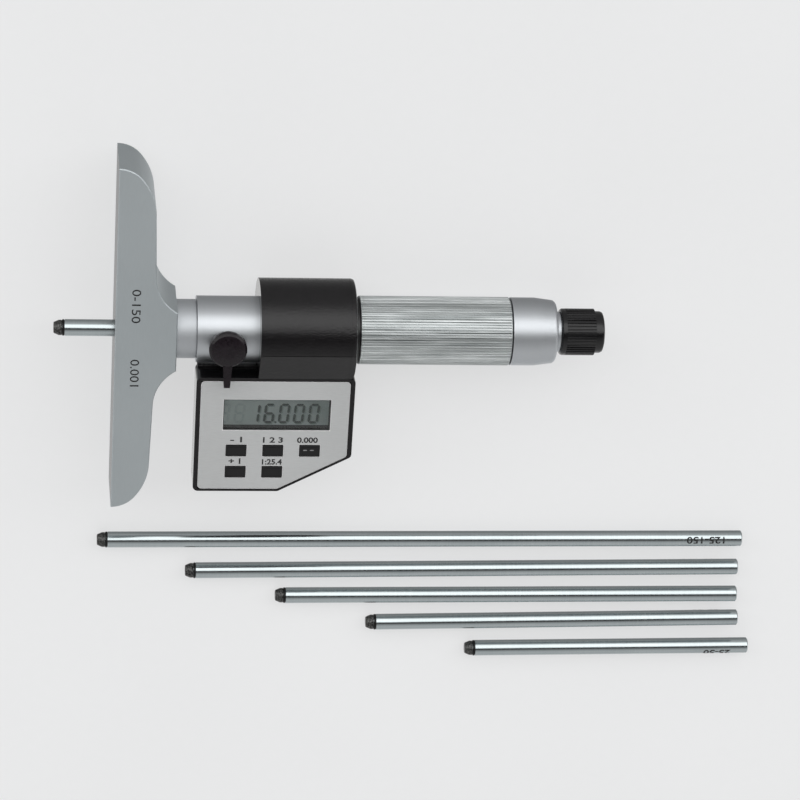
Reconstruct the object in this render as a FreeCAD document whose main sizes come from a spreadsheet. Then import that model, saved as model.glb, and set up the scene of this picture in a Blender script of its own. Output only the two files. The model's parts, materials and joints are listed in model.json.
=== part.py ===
import FreeCAD, Part
import math
import os
import Sketcher

# Digital micrometer depth gauge with five spare measuring rods lying beside it.
# The origin is the centre of the measuring face, on the spindle's axis.
# X runs along the spindle to the thimble, Y along the base, Z out of the display.
# Lengths are millimetres. The gauge is drawn at a reading of 16 mm.

driving_sizes = {
    # fits shared by all pieces
    "running_gap": 0.05,
    "seat_gap": 0.02,
    "overrun": 1.0,
    # base
    "base_length": 100.0,
    "base_width": 17.0,
    "arm_root_depth": 10.5,
    "arm_end_depth": 10.0,
    "base_edge_bevel": 0.25,
    "end_nose_radius": 8.0,
    "end_curve_length": 13.5,
    "flare_radius": 12.3,
    "boss_depth": 16.4,
    "boss_width": 17.2,
    "guide_depth": 2.5,
    # measuring rods
    "rod_diameter": 4.5,
    "reading": 16.0,
    "rod_step": 25.0,
    "tip_length": 2.25,
    "tip_cone_length": 1.4,
    "tip_root_diameter": 4.1,
    "tip_end_diameter": 2.9,
    "tip_ring_width": 0.7,
    "tip_ring_depth": 0.25,
    "rod_end_bevel": 0.25,
    # spindle
    "spindle_diameter": 8.0,
    "spindle_nose": 12.0,
    "spindle_end_play": 1.0,
    "socket_depth": 29.0,
    "magnet_length": 3.0,
    "keyway_width": 1.5,
    "keyway_depth": 1.0,
    "keyway_end_gap": 0.5,
    # neck and sleeve
    "neck_diameter": 15.8,
    "neck_length": 5.1,
    "neck_gap": 0.3,
    "neck_root_diameter": 12.0,
    "neck_root_length": 6.0,
    "neck_spigot_length": 14.35,
    "sleeve_diameter": 17.74,
    "sleeve_length": 28.2,
    # barrel and its adjusting nut
    "barrel_diameter": 14.6,
    "barrel_length": 46.0,
    "barrel_thread_diameter": 12.4,
    "barrel_thread_length": 8.0,
    "nut_diameter": 14.1,
    "nut_length": 5.0,
    "nut_setback": 2.0,
    # housing ring
    "ring_diameter": 27.6,
    "ring_start": 38.3,
    "ring_length": 25.6,
    "ring_wall": 1.8,
    "ring_front_wall": 1.5,
    "ring_cap_thickness": 1.5,
    "ring_edge_radius": 0.8,
    "shoulder_inset": 1.0,
    "shoulder_drop": 0.4,
    "seam_width": 0.25,
    "seam_depth": 0.3,
    # encoder
    "stator_thickness": 3.0,
    "rotor_thickness": 2.0,
    "rotor_clearance": 0.4,
    "encoder_spacing": 2.0,
    # collar of the thimble
    "collar_diameter": 16.6,
    "collar_flange_diameter": 17.0,
    "collar_flange_length": 1.0,
    "collar_gap": 0.2,
    # thimble and its cap
    "thimble_diameter": 18.4,
    "thimble_length": 40.8,
    "flute_depth": 0.26,
    "flute_width": 0.46,
    "flute_margin": 0.35,
    "cap_gap": 0.3,
    "cap_diameter": 18.3,
    "cap_straight_length": 6.6,
    "cap_taper_length": 4.9,
    "cap_taper_diameter": 17.0,
    "cap_nose_length": 0.85,
    "cap_end_diameter": 13.6,
    "cap_wall": 2.0,
    "cap_bore_diameter": 10.0,
    "cap_spigot_length": 8.0,
    # drive bush and its key
    "bush_length": 6.0,
    "bush_setback": 1.0,
    "key_clearance": 0.05,
    # friction knob
    "stud_diameter": 6.0,
    "stud_root_length": 4.0,
    "stud_length": 11.65,
    "ratchet_collar_diameter": 10.8,
    "ratchet_collar_length": 1.15,
    "knob_diameter": 12.6,
    "knob_length": 9.25,
    "knob_gap": 0.1,
    "knob_shoulder_length": 1.4,
    "knob_shoulder_radius": 0.6,
    "knob_web": 1.3,
    "knob_hollow_diameter": 9.2,
    "rib_depth": 0.32,
    "rib_groove_width": 0.62,
    "end_cap_diameter": 11.3,
    "end_cap_length": 2.45,
    "end_cap_radius": 0.9,
    "end_cap_spigot_length": 0.6,
    "washer_thickness": 0.6,
    "spring_thickness": 0.5,
    "screw_head_diameter": 8.4,
    "screw_head_length": 0.9,
    "screw_shank_diameter": 2.4,
    "screw_shank_length": 5.0,
    # lock lever
    "lock_station": 29.7,
    "lever_diameter": 10.1,
    "lever_floor": 11.5,
    "lever_rim_height": 1.2,
    "lever_bevel": 0.6,
    "lever_height": 2.6,
    "lever_crown_diameter": 3.4,
    "lever_tail_reach": 10.9,
    "lever_tail_root_width": 2.45,
    "lever_tail_tip_width": 1.6,
    "lever_tail_thickness": 1.3,
    "lever_tail_lift": 0.5,
    "lock_screw_diameter": 5.0,
    "lock_screw_length": 7.65,
    "lock_shoe_height": 2.8,
    # electronics box
    "box_start": 21.9,
    "box_length": 42.5,
    "box_top": 9.9,
    "box_height": 34.4,
    "cut_run": 19.5,
    "cut_rise": 10.6,
    "box_back": 0.8,
    "box_front": 9.4,
    "box_wall": 1.2,
    "box_corner_radius": 1.4,
    "cover_thickness": 1.2,
    "face_wall": 0.8,
    "plate_recess": 0.6,
    # faceplate
    "plate_thickness": 0.5,
    "plate_side_rim": 1.2,
    "plate_top_rim": 1.0,
    "plate_bottom_rim": 0.6,
    "plate_corner_radius": 1.2,
    "window_left_inset": 7.5,
    "window_right_inset": 6.25,
    "window_top_inset": 6.55,
    "window_bottom_inset": 18.6,
    "lens_thickness": 0.6,
    # display and circuit board
    "display_border": 0.6,
    "display_thickness": 1.0,
    "connector_height": 0.4,
    "connector_width": 0.9,
    "board_thickness": 1.0,
    "board_gap": 0.4,
    "board_top_gap": 0.6,
    # buttons
    "button_width": 5.35,
    "button_height": 3.3,
    "button_gap": 0.1,
    "button_proud": 0.15,
    "button_pad_height": 0.1,
    "button_pad_inset": 0.55,
    "button_flange": 0.4,
    "button_flange_thickness": 0.5,
    "button_left_inset": 11.3,
    "button_right_inset": 11.4,
    "button_bottom_inset": 5.9,
    "button_row_pitch": 6.5,
    "dome_diameter": 3.2,
    "dome_height": 0.45,
    # battery
    "battery_diameter": 20.0,
    "battery_thickness": 3.2,
    "battery_cap_diameter": 17.6,
    "battery_cap_height": 0.4,
    "battery_left_inset": 12.6,
    "battery_bottom_inset": 13.2,
    "contact_thickness": 0.2,
    "contact_width": 4.0,
    "contact_length": 9.0,
    # cover screws and their bosses
    "boss_inset": 3.7,
    "boss_lift": 2.2,
    "screw_boss_diameter": 3.6,
    "cover_screw_diameter": 1.6,
    "cover_screw_length": 4.7,
    "cover_head_diameter": 2.8,
    "cover_head_height": 0.7,
    # row of spare rods on the table
    "row_start_1": 102.7,
    "row_start_2": 73.8,
    "row_start_3": 47.7,
    "row_start_4": 22.1,
    "row_start_5": -2.7,
    "row_drop_1": 107.1,
    "row_drop_2": 98.4,
    "row_drop_3": 89.6,
    "row_drop_4": 81.5,
    "row_drop_5": 71.6,
}

# Angles and counts stay as they are when the gauge is scaled.
row_turns = {1: 0.56, 2: 0.79, 3: 0.26, 4: 0.51, 5: 0.25}
full_turn = 360
arc_middle_share = 1 - math.sqrt(1 / 2)
flute_count = 80
rib_count = 46
spring_count = 2
last_column = 2
last_row = 1
button_places = {
    "button_minus": (0, 0),
    "button_preset": (1, 0),
    "button_zero": (last_column, 0),
    "button_plus": (0, last_row),
    "button_unit": (1, last_row),
}

doc = FreeCAD.newDocument("depth_gauge")
sheet = doc.addObject("Spreadsheet::Sheet", "Sizes")
for line, (alias, value) in enumerate(driving_sizes.items(), 1):
    sheet.set("A%d" % line, alias)
    sheet.set("B%d" % line, str(value))
    sheet.setAlias("B%d" % line, alias)
doc.recompute()


# A length that knows its value and the sheet expression that it comes from.
class Size:
    def __init__(self, value, text):
        self.value = value
        self.text = text

    def __add__(self, other):
        return combine(self, other, "+", self.value + number(other))

    def __sub__(self, other):
        return combine(self, other, "-", self.value - number(other))

    def __mul__(self, other):
        return combine(self, other, "*", self.value * number(other))

    def __truediv__(self, other):
        return combine(self, other, "/", self.value / number(other))

    def __neg__(self):
        return Size(-self.value, "(0 - %s)" % self.text)


class Sheet:
    def __getattr__(self, alias):
        return Size(driving_sizes[alias], "Sizes." + alias)


def number(size):
    return size.value if isinstance(size, Size) else size


def text(size):
    return size.text if isinstance(size, Size) else repr(size)


def combine(first, second, sign, value):
    return Size(value, "(%s %s %s)" % (text(first), sign, text(second)))


def root(size):
    return Size(math.sqrt(size.value), "sqrt(%s)" % size.text)


def bind(thing, path, size):
    if isinstance(size, Size):
        thing.setExpression(path, size.text)
    else:
        setattr(thing, path, size)


mm = Sheet()


zero = Size(0.0, "0")

# Places along the spindle's axis that several pieces share.
rod_rear = mm.spindle_nose + mm.socket_depth
rod_length = mm.reading + rod_rear
neck_end = mm.boss_depth + mm.neck_length
sleeve_start = neck_end + mm.neck_gap
sleeve_end = sleeve_start + mm.sleeve_length
spigot_end = neck_end + mm.neck_spigot_length
barrel_end = spigot_end + mm.barrel_length
ring_end = mm.ring_start + mm.ring_length
collar_start = sleeve_end + mm.encoder_spacing
thimble_start = ring_end + mm.collar_gap + mm.collar_flange_length
thimble_end = thimble_start + mm.thimble_length
bush_start = barrel_end + mm.bush_setback
cap_start = thimble_end + mm.cap_gap
cap_end = cap_start + mm.cap_straight_length + mm.cap_taper_length + mm.cap_nose_length
knob_start = cap_end + mm.ratchet_collar_length + mm.knob_gap
knob_end = knob_start + mm.knob_length
stud_start = cap_end - mm.stud_root_length
stud_end = stud_start + mm.stud_length
spindle_rear = stud_start - mm.reading - mm.spindle_end_play
keyway_start = bush_start - mm.reading - mm.keyway_end_gap

# Radii that mate.
rod_radius = mm.rod_diameter / 2
spindle_radius = mm.spindle_diameter / 2
barrel_radius = mm.barrel_diameter / 2
sleeve_radius = mm.sleeve_diameter / 2
ring_radius = mm.ring_diameter / 2
stud_radius = mm.stud_diameter / 2
rod_hole_radius = rod_radius + mm.running_gap
spindle_hole_radius = spindle_radius + mm.running_gap
thimble_bore_radius = barrel_radius + mm.running_gap
cavity_radius = ring_radius - mm.ring_wall

# Heights in the electronics box, from its back to its front.
cover_top = mm.box_back + mm.cover_thickness
plate_floor = mm.box_front - mm.plate_recess
face_wall_floor = plate_floor - mm.face_wall
battery_floor = cover_top + mm.seat_gap
battery_top = battery_floor + mm.battery_thickness
display_top = face_wall_floor - mm.seat_gap
display_floor = display_top - mm.display_thickness
board_top = display_floor - mm.connector_height
board_floor = board_top - mm.board_thickness
button_floor = face_wall_floor - mm.running_gap - mm.button_flange_thickness

# Edges of the box, its cut corner and its window.
box_end = mm.box_start + mm.box_length
box_bottom = mm.box_top + mm.box_height
cut_length = root(mm.cut_run * mm.cut_run + mm.cut_rise * mm.cut_rise)
window_start = mm.box_start + mm.window_left_inset
window_end = box_end - mm.window_right_inset
window_top = mm.box_top + mm.window_top_inset
window_bottom = box_bottom - mm.window_bottom_inset


def point(pair):
    return FreeCAD.Vector(number(pair[0]), number(pair[1]), 0)


def new_body(name):
    body = doc.addObject("PartDesign::Body", name)
    body.Label = name
    return body


def sketch_on(body, role, offset=None, slide=None):
    sketch = body.newObject("Sketcher::SketchObject", body.Name + "_sketch")
    plane = [f for f in body.Origin.OriginFeatures if f.Role == role][0]
    sketch.AttachmentSupport = [(plane, "")]
    sketch.MapMode = "FlatFace"
    if offset is not None:
        bind(sketch, "AttachmentOffset.Base.z", offset)
    if slide is not None:
        bind(sketch, "AttachmentOffset.Base.x", slide)
    return sketch


def hold(sketch, kind, first, sizes):
    index = sketch.addConstraint(Sketcher.Constraint(kind, *first, number(sizes)))
    if isinstance(sizes, Size):
        sketch.setExpression("Constraints[%d]" % index, sizes.text)


def pin(sketch, edge, end, place):
    for kind, axis, size in (("DistanceX", -2, place[0]), ("DistanceY", -1, place[1])):
        if isinstance(size, Size):
            hold(sketch, kind, (-1, 1, edge, end), size)
        else:
            sketch.addConstraint(Sketcher.Constraint("PointOnObject", edge, end, axis))


def join(sketch, edges):
    for edge, following in zip(edges, edges[1:] + edges[:1]):
        sketch.addConstraint(Sketcher.Constraint("Coincident", edge, 2, following, 1))


def polygon(sketch, places):
    ends = places[1:] + places[:1]
    lines = [Part.LineSegment(point(a), point(b)) for a, b in zip(places, ends)]
    edges = list(sketch.addGeometry(lines, False))
    join(sketch, edges)
    for edge, place in zip(edges, places):
        pin(sketch, edge, 1, place)


def circle(sketch, place, radius):
    round_edge = Part.Circle(point(place), FreeCAD.Vector(0, 0, 1), number(radius))
    edge = sketch.addGeometry(round_edge, False)
    pin(sketch, edge, 3, place)
    hold(sketch, "Radius", (edge,), radius)


def rectangle(x0, x1, y0, y1):
    return [(x0, y0), (x1, y0), (x1, y1), (x0, y1)]


def add_pad(body, sketch, length, symmetric=False):
    pad = body.newObject("PartDesign::Pad", body.Name + "_pad")
    pad.Profile = sketch
    bind(pad, "Length", length)
    if symmetric:
        pad.SideType = "Symmetric"
    return pad


def add_pocket(body, sketch, length, forward=False):
    pocket = body.newObject("PartDesign::Pocket", body.Name + "_pocket")
    pocket.Profile = sketch
    pocket.Reversed = forward
    bind(pocket, "Length", length)
    return pocket


def add_turn(body, sketch, kind="PartDesign::Revolution", axis="H_Axis"):
    turn = body.newObject(kind, body.Name + "_turn")
    turn.Profile = sketch
    turn.ReferenceAxis = (sketch, [axis])
    turn.Angle = full_turn
    return turn


# An outer corner at (x, radius), rounded by two chords of an arc or an ellipse.
def soft_corner(x, radius, length, drop):
    return [
        (x - length, radius),
        (x - length * arc_middle_share, radius - drop * arc_middle_share),
        (x, radius - drop),
    ]


def turned(name, profile):
    body = new_body(name)
    sketch = sketch_on(body, "XZ_Plane")
    polygon(sketch, profile)
    add_turn(body, sketch)
    return body


def groove(body, profile):
    sketch = sketch_on(body, "XZ_Plane")
    polygon(sketch, profile)
    return add_turn(body, sketch, "PartDesign::Groove")


def plate(name, outline, floor, thickness):
    body = new_body(name)
    sketch = sketch_on(body, "XY_Plane", floor)
    polygon(sketch, outline)
    add_pad(body, sketch, thickness)
    return body


def pocket_up(body, outline, floor, depth):
    sketch = sketch_on(body, "XY_Plane", floor)
    polygon(sketch, outline)
    return add_pocket(body, sketch, depth, forward=True)


def is_upright(edge):
    way = edge.tangentAt(edge.FirstParameter)
    return isinstance(edge.Curve, Part.Line) and abs(way.z) > abs(way.x) + abs(way.y)


def on_base_side(edge):
    low, high = edge.BoundBox.ZMin, edge.BoundBox.ZMax
    side = number(mm.base_width) / 2 - number(mm.seat_gap)
    return low > side or high < -side


def wanted_edges(body, wanted):
    doc.recompute()
    carrier = body.Tip
    names = ["Edge%d" % n for n, edge in enumerate(carrier.Shape.Edges, 1) if wanted(edge)]
    return carrier, names


def round_edges(body, wanted, radius):
    edges = wanted_edges(body, wanted)
    fillet = body.newObject("PartDesign::Fillet", body.Name + "_fillet")
    fillet.Base = edges
    bind(fillet, "Radius", radius)
    return fillet


def bevel_edges(body, wanted, size):
    edges = wanted_edges(body, wanted)
    chamfer = body.newObject("PartDesign::Chamfer", body.Name + "_chamfer")
    chamfer.Base = edges
    bind(chamfer, "Size", size)
    return chamfer


def around_axis(body, feature, count):
    pattern = body.newObject("PartDesign::PolarPattern", body.Name + "_pattern")
    pattern.Originals = [feature]
    axis = [f for f in body.Origin.OriginFeatures if f.Role == "X_Axis"][0]
    pattern.Axis = (axis, [""])
    pattern.Angle = full_turn
    pattern.Occurrences = count
    body.Tip = pattern
    return pattern


# The base is one half outline, mirrored: an arm with an end of two tangent arcs,
# a concave flare into the boss, and the bores of the rod and the spindle.
def make_base():
    body = new_body("base")
    sketch = sketch_on(body, "XY_Plane")
    half = mm.base_length / 2
    nose_centre = half - mm.end_nose_radius
    curve_end = half - mm.end_curve_length
    boss_half = mm.boss_width / 2
    flare_centre = mm.arm_root_depth + mm.flare_radius
    rise = root(mm.flare_radius * mm.flare_radius
                - (flare_centre - mm.boss_depth) * (flare_centre - mm.boss_depth))
    flare_start = boss_half + rise
    drop = number(nose_centre - curve_end)
    reach = number(mm.arm_end_depth) - number(mm.end_nose_radius)
    side_radius = (number(mm.end_nose_radius) + number(mm.arm_end_depth)) / 2
    side_radius += drop * drop / (2 * reach)
    side_centre = number(mm.arm_end_depth) - side_radius
    lean = math.atan2(drop, -side_centre)
    up = FreeCAD.Vector(0, 0, 1)
    nose = Part.Circle(point((0, nose_centre)), up, number(mm.end_nose_radius))
    side = Part.Circle(point((side_centre, curve_end)), up, side_radius)
    flare = Part.Circle(point((flare_centre, flare_start)), up, number(mm.flare_radius))
    flare_turn = math.acos(number(flare_centre - mm.boss_depth) / number(mm.flare_radius))
    half_turn = math.radians(full_turn) / 2
    pieces = [
        Part.LineSegment(point((0, 0)), point((0, half))),
        Part.ArcOfCircle(nose, lean, half_turn / 2),
        Part.ArcOfCircle(side, 0, lean),
        Part.LineSegment(point((mm.arm_end_depth, curve_end)),
                         point((mm.arm_root_depth, flare_start))),
        Part.ArcOfCircle(flare, half_turn, half_turn + flare_turn),
        Part.LineSegment(point((mm.boss_depth, boss_half)), point((mm.boss_depth, 0))),
        Part.LineSegment(point((mm.boss_depth, 0)), point((0, 0))),
    ]
    front, tip, shoulder, back, sweep, boss, middle = sketch.addGeometry(pieces, False)
    links = [(front, 2, tip, 2), (shoulder, 1, back, 1), (back, 2, sweep, 1),
             (sweep, 2, boss, 1), (boss, 2, middle, 1), (middle, 2, front, 1)]
    for link in links:
        sketch.addConstraint(Sketcher.Constraint("Coincident", *link))
    sketch.addConstraint(Sketcher.Constraint("Tangent", tip, 1, shoulder, 2))
    sketch.addConstraint(Sketcher.Constraint("PointOnObject", tip, 3, -2))
    sketch.addConstraint(Sketcher.Constraint("Horizontal", shoulder, 3, shoulder, 1))
    sketch.addConstraint(Sketcher.Constraint("Horizontal", sweep, 3, sweep, 1))
    pin(sketch, front, 1, (0, 0))
    pin(sketch, front, 2, (0, half))
    pin(sketch, back, 1, (mm.arm_end_depth, curve_end))
    pin(sketch, boss, 1, (mm.boss_depth, boss_half))
    pin(sketch, middle, 1, (mm.boss_depth, 0))
    hold(sketch, "DistanceX", (-1, 1, sweep, 1), mm.arm_root_depth)
    hold(sketch, "Radius", (tip,), mm.end_nose_radius)
    hold(sketch, "Radius", (sweep,), mm.flare_radius)
    pad = add_pad(body, sketch, mm.base_width, symmetric=True)
    mirror = body.newObject("PartDesign::Mirrored", "base_mirror")
    mirror.Originals = [pad]
    plane = [f for f in body.Origin.OriginFeatures if f.Role == "XZ_Plane"][0]
    mirror.MirrorPlane = (plane, [""])
    body.Tip = mirror
    bevel_edges(body, on_base_side, mm.base_edge_bevel)
    root_radius = mm.neck_root_diameter / 2 + mm.seat_gap
    root_start = mm.boss_depth - mm.neck_root_length
    past_boss = mm.boss_depth + mm.overrun
    groove(body, [
        (-mm.overrun, 0),
        (-mm.overrun, rod_hole_radius),
        (mm.guide_depth, rod_hole_radius),
        (mm.guide_depth, spindle_hole_radius),
        (root_start, spindle_hole_radius),
        (root_start, root_radius),
        (past_boss, root_radius),
        (past_boss, 0),
    ])
    return body


def make_neck():
    root_start = mm.boss_depth - mm.neck_root_length
    root_radius = mm.neck_root_diameter / 2
    neck_radius = mm.neck_diameter / 2
    body = turned("neck", [
        (root_start, spindle_hole_radius),
        (spigot_end, spindle_hole_radius),
        (spigot_end, barrel_radius),
        (neck_end, barrel_radius),
        (neck_end, neck_radius),
        (mm.boss_depth, neck_radius),
        (mm.boss_depth, root_radius),
        (root_start, root_radius),
    ])
    lock_hole(body)
    return body


def lock_hole(body):
    sketch = sketch_on(body, "XY_Plane")
    circle(sketch, (mm.lock_station, 0), mm.lock_screw_diameter / 2 + mm.running_gap)
    return add_pocket(body, sketch, ring_radius, forward=True)


def make_sleeve():
    body = turned("sleeve", rectangle(
        sleeve_start, sleeve_end, barrel_radius + mm.seat_gap, sleeve_radius))
    lock_hole(body)
    return body


def make_barrel():
    thread_start = barrel_end - mm.barrel_thread_length
    thread_radius = mm.barrel_thread_diameter / 2
    return turned("barrel", [
        (spigot_end, spindle_hole_radius),
        (barrel_end, spindle_hole_radius),
        (barrel_end, thread_radius),
        (thread_start, thread_radius),
        (thread_start, barrel_radius),
        (spigot_end, barrel_radius),
    ])


def make_adjusting_nut():
    end = barrel_end - mm.nut_setback
    bore = mm.barrel_thread_diameter / 2 + mm.seat_gap
    return turned("adjusting_nut", rectangle(
        end - mm.nut_length, end, bore, mm.nut_diameter / 2))


# The flat shoulder and the seam above it, cut from the ring and its end cap alike.
def cut_shoulder(body):
    sketch = sketch_on(body, "YZ_Plane", mm.ring_start - mm.overrun)
    seam_height = root(ring_radius * ring_radius - mm.shoulder_inset * mm.shoulder_inset)
    beyond = ring_radius + mm.overrun
    polygon(sketch, [
        (-mm.shoulder_inset, seam_height),
        (-(mm.box_top + mm.shoulder_drop), mm.box_front),
        (-beyond, mm.box_front),
        (-beyond, beyond),
        (-mm.shoulder_inset, beyond),
    ])
    add_pocket(body, sketch, mm.ring_length + mm.overrun * 2, forward=True)
    sketch = sketch_on(body, "YZ_Plane", mm.ring_start - mm.overrun)
    polygon(sketch, rectangle(
        -(mm.shoulder_inset + mm.seam_width), -mm.shoulder_inset,
        seam_height - mm.seam_depth, beyond))
    return add_pocket(body, sketch, mm.ring_length + mm.overrun * 2, forward=True)


def make_ring_shell():
    wall_end = mm.ring_start + mm.ring_front_wall
    shell_end = ring_end - mm.ring_cap_thickness
    body = turned("ring_shell", [
        (mm.ring_start, sleeve_radius + mm.seat_gap),
        (wall_end, sleeve_radius + mm.seat_gap),
        (wall_end, cavity_radius),
        (shell_end, cavity_radius),
        (shell_end, ring_radius),
        (mm.ring_start, ring_radius),
    ])
    cut_shoulder(body)
    return body


def make_ring_end_cap():
    start = ring_end - mm.ring_cap_thickness
    bore = mm.collar_diameter / 2 + mm.collar_gap
    soft = mm.ring_edge_radius
    body = turned("ring_end_cap", [
        (ring_end, bore),
        (start, bore),
        (start, ring_radius),
        *soft_corner(ring_end, ring_radius, soft, soft),
    ])
    cut_shoulder(body)
    return body


# Outline of the box with its cut corner, drawn in from its edges by four rims.
def box_outline(side=zero, top=zero, bottom=zero, slant=zero):
    right = box_end - side
    floor = box_bottom - bottom
    cut_side = box_bottom - mm.cut_rise + side * mm.cut_rise / mm.cut_run
    cut_side = cut_side - slant * cut_length / mm.cut_run
    cut_floor = box_end - mm.cut_run + bottom * mm.cut_run / mm.cut_rise
    cut_floor = cut_floor - slant * cut_length / mm.cut_rise
    return [
        (mm.box_start + side, -(mm.box_top + top)),
        (mm.box_start + side, -floor),
        (cut_floor, -floor),
        (right, -cut_side),
        (right, -(mm.box_top + top)),
    ]


def screw_places():
    left = mm.box_start + mm.boss_inset
    right = box_end - mm.boss_inset
    low = box_bottom - mm.boss_inset
    return [
        (left, -(mm.box_top + mm.boss_inset)),
        (left, -low),
        (right, -(box_bottom - mm.cut_rise - mm.boss_lift)),
        (right, -(ring_radius + mm.boss_inset)),
    ]


def button_centre(column, row):
    pitch = (mm.box_length - mm.button_left_inset - mm.button_right_inset) / last_column
    x = mm.box_start + mm.button_left_inset + pitch * column
    rise = mm.button_bottom_inset + mm.button_row_pitch * (last_row - row)
    return x, -(box_bottom - rise)


def button_outline(place, border=zero):
    x, y = button_centre(*place)
    half_width = mm.button_width / 2 + border
    half_height = mm.button_height / 2 + border
    return rectangle(x - half_width, x + half_width, y - half_height, y + half_height)


def clear_ring(body):
    gap = mm.seat_gap
    return groove(body, rectangle(
        mm.ring_start - gap, ring_end + gap, zero, ring_radius + gap))


def cut_openings(body, floor, depth):
    pocket_up(body, rectangle(window_start, window_end, -window_bottom, -window_top),
              floor, depth)
    sketch = sketch_on(body, "XY_Plane", floor)
    for place in button_places.values():
        polygon(sketch, button_outline(place, mm.button_gap))
    add_pocket(body, sketch, depth, forward=True)


def make_box_shell():
    body = plate("box_shell", box_outline(), cover_top, mm.box_front - cover_top)
    round_edges(body, is_upright, mm.box_corner_radius)
    wall = mm.box_wall
    pocket_up(body, box_outline(wall, wall, wall, wall),
              cover_top, face_wall_floor - cover_top)
    slot = mm.plate_side_rim, mm.plate_top_rim, mm.plate_bottom_rim, mm.plate_bottom_rim
    pocket_up(body, box_outline(*slot), plate_floor, mm.plate_recess + mm.overrun)
    cut_openings(body, face_wall_floor - mm.overrun, mm.face_wall + mm.overrun * 2)
    sketch = sketch_on(body, "XY_Plane", cover_top)
    for place in screw_places():
        circle(sketch, place, mm.screw_boss_diameter / 2)
    add_pad(body, sketch, face_wall_floor - cover_top)
    sketch = sketch_on(body, "XY_Plane", cover_top)
    for place in screw_places():
        circle(sketch, place, mm.cover_screw_diameter / 2 + mm.seat_gap)
    add_pocket(body, sketch, mm.cover_screw_length, forward=True)
    clear_ring(body)
    return body


def make_back_cover():
    body = plate("back_cover", box_outline(), mm.box_back, mm.cover_thickness)
    round_edges(body, is_upright, mm.box_corner_radius)
    sketch = sketch_on(body, "XY_Plane", mm.box_back)
    for place in screw_places():
        circle(sketch, place, mm.cover_screw_diameter / 2 + mm.seat_gap)
    add_pocket(body, sketch, mm.cover_thickness, forward=True)
    sketch = sketch_on(body, "XY_Plane", mm.box_back)
    for place in screw_places():
        circle(sketch, place, mm.cover_head_diameter / 2 + mm.seat_gap)
    add_pocket(body, sketch, mm.cover_head_height, forward=True)
    clear_ring(body)
    return body


def make_cover_screws():
    body = new_body("cover_screws")
    body.AllowCompound = True
    sketch = sketch_on(body, "XY_Plane", mm.box_back)
    for place in screw_places():
        circle(sketch, place, mm.cover_head_diameter / 2)
    add_pad(body, sketch, mm.cover_head_height - mm.seat_gap)
    sketch = sketch_on(body, "XY_Plane", mm.box_back)
    for place in screw_places():
        circle(sketch, place, mm.cover_screw_diameter / 2)
    add_pad(body, sketch, mm.cover_screw_length)
    return body


def make_faceplate():
    gap = mm.seat_gap
    body = plate("faceplate", box_outline(
        mm.plate_side_rim + gap, mm.plate_top_rim + gap,
        mm.plate_bottom_rim + gap, mm.plate_bottom_rim + gap), plate_floor, mm.plate_thickness)
    round_edges(body, is_upright, mm.plate_corner_radius)
    cut_openings(body, plate_floor - mm.overrun, mm.plate_thickness + mm.overrun * 2)
    return body


def make_window_lens():
    gap = mm.seat_gap
    return plate("window_lens", rectangle(
        window_start + gap, window_end - gap, -(window_bottom - gap), -(window_top + gap)),
        face_wall_floor, mm.lens_thickness)


def display_edges():
    border = mm.display_border
    return (window_start - border, window_end + border,
            window_top - border, window_bottom + border)


def make_display_panel():
    left, right, top, bottom = display_edges()
    return plate("display_panel", rectangle(left, right, -bottom, -top),
                 display_floor, mm.display_thickness)


def make_display_connectors():
    left, right, top, bottom = display_edges()
    body = new_body("display_connectors")
    body.AllowCompound = True
    sketch = sketch_on(body, "XY_Plane", board_top)
    for inner in (top, bottom - mm.connector_width):
        polygon(sketch, rectangle(left, right, -(inner + mm.connector_width), -inner))
    add_pad(body, sketch, mm.connector_height)
    return body


def make_circuit_board():
    inset = mm.box_wall + mm.board_gap
    top = ring_radius + mm.board_top_gap - mm.box_top
    body = plate("circuit_board", box_outline(inset, top, inset, inset),
                 board_floor, mm.board_thickness)
    sketch = sketch_on(body, "XY_Plane", board_floor)
    for place in screw_places():
        circle(sketch, place, mm.screw_boss_diameter / 2 + mm.button_gap)
    add_pocket(body, sketch, mm.board_thickness, forward=True)
    return body


def make_dome_switches():
    body = new_body("dome_switches")
    body.AllowCompound = True
    sketch = sketch_on(body, "XY_Plane", board_top)
    for place in button_places.values():
        circle(sketch, button_centre(*place), mm.dome_diameter / 2)
    add_pad(body, sketch, mm.dome_height)
    return body


def battery_centre():
    return mm.box_start + mm.battery_left_inset, -(box_bottom - mm.battery_bottom_inset)


# A coin cell: its can lies on the back cover, its smaller cap faces the board.
def make_battery():
    body = new_body("battery")
    sketch = sketch_on(body, "XY_Plane", battery_floor)
    circle(sketch, battery_centre(), mm.battery_diameter / 2)
    add_pad(body, sketch, mm.battery_thickness - mm.battery_cap_height)
    sketch = sketch_on(body, "XY_Plane", battery_floor)
    circle(sketch, battery_centre(), mm.battery_cap_diameter / 2)
    add_pad(body, sketch, mm.battery_thickness)
    return body


# A leaf between the cell and the board, and an upright contact at the cell's rim.
def make_battery_contacts():
    body = new_body("battery_contacts")
    body.AllowCompound = True
    x, y = battery_centre()
    half_width = mm.contact_width / 2
    half_length = mm.contact_length / 2
    rim = y + mm.battery_diameter / 2 + mm.seat_gap
    sketch = sketch_on(body, "XY_Plane", battery_top)
    polygon(sketch, rectangle(x - half_width, x + half_width,
                              y - half_length, y + half_length))
    add_pad(body, sketch, mm.contact_thickness)
    sketch = sketch_on(body, "XY_Plane", battery_floor)
    polygon(sketch, rectangle(x - half_width, x + half_width, rim,
                              rim + mm.contact_thickness))
    add_pad(body, sketch, board_floor - battery_floor)
    return body


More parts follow.
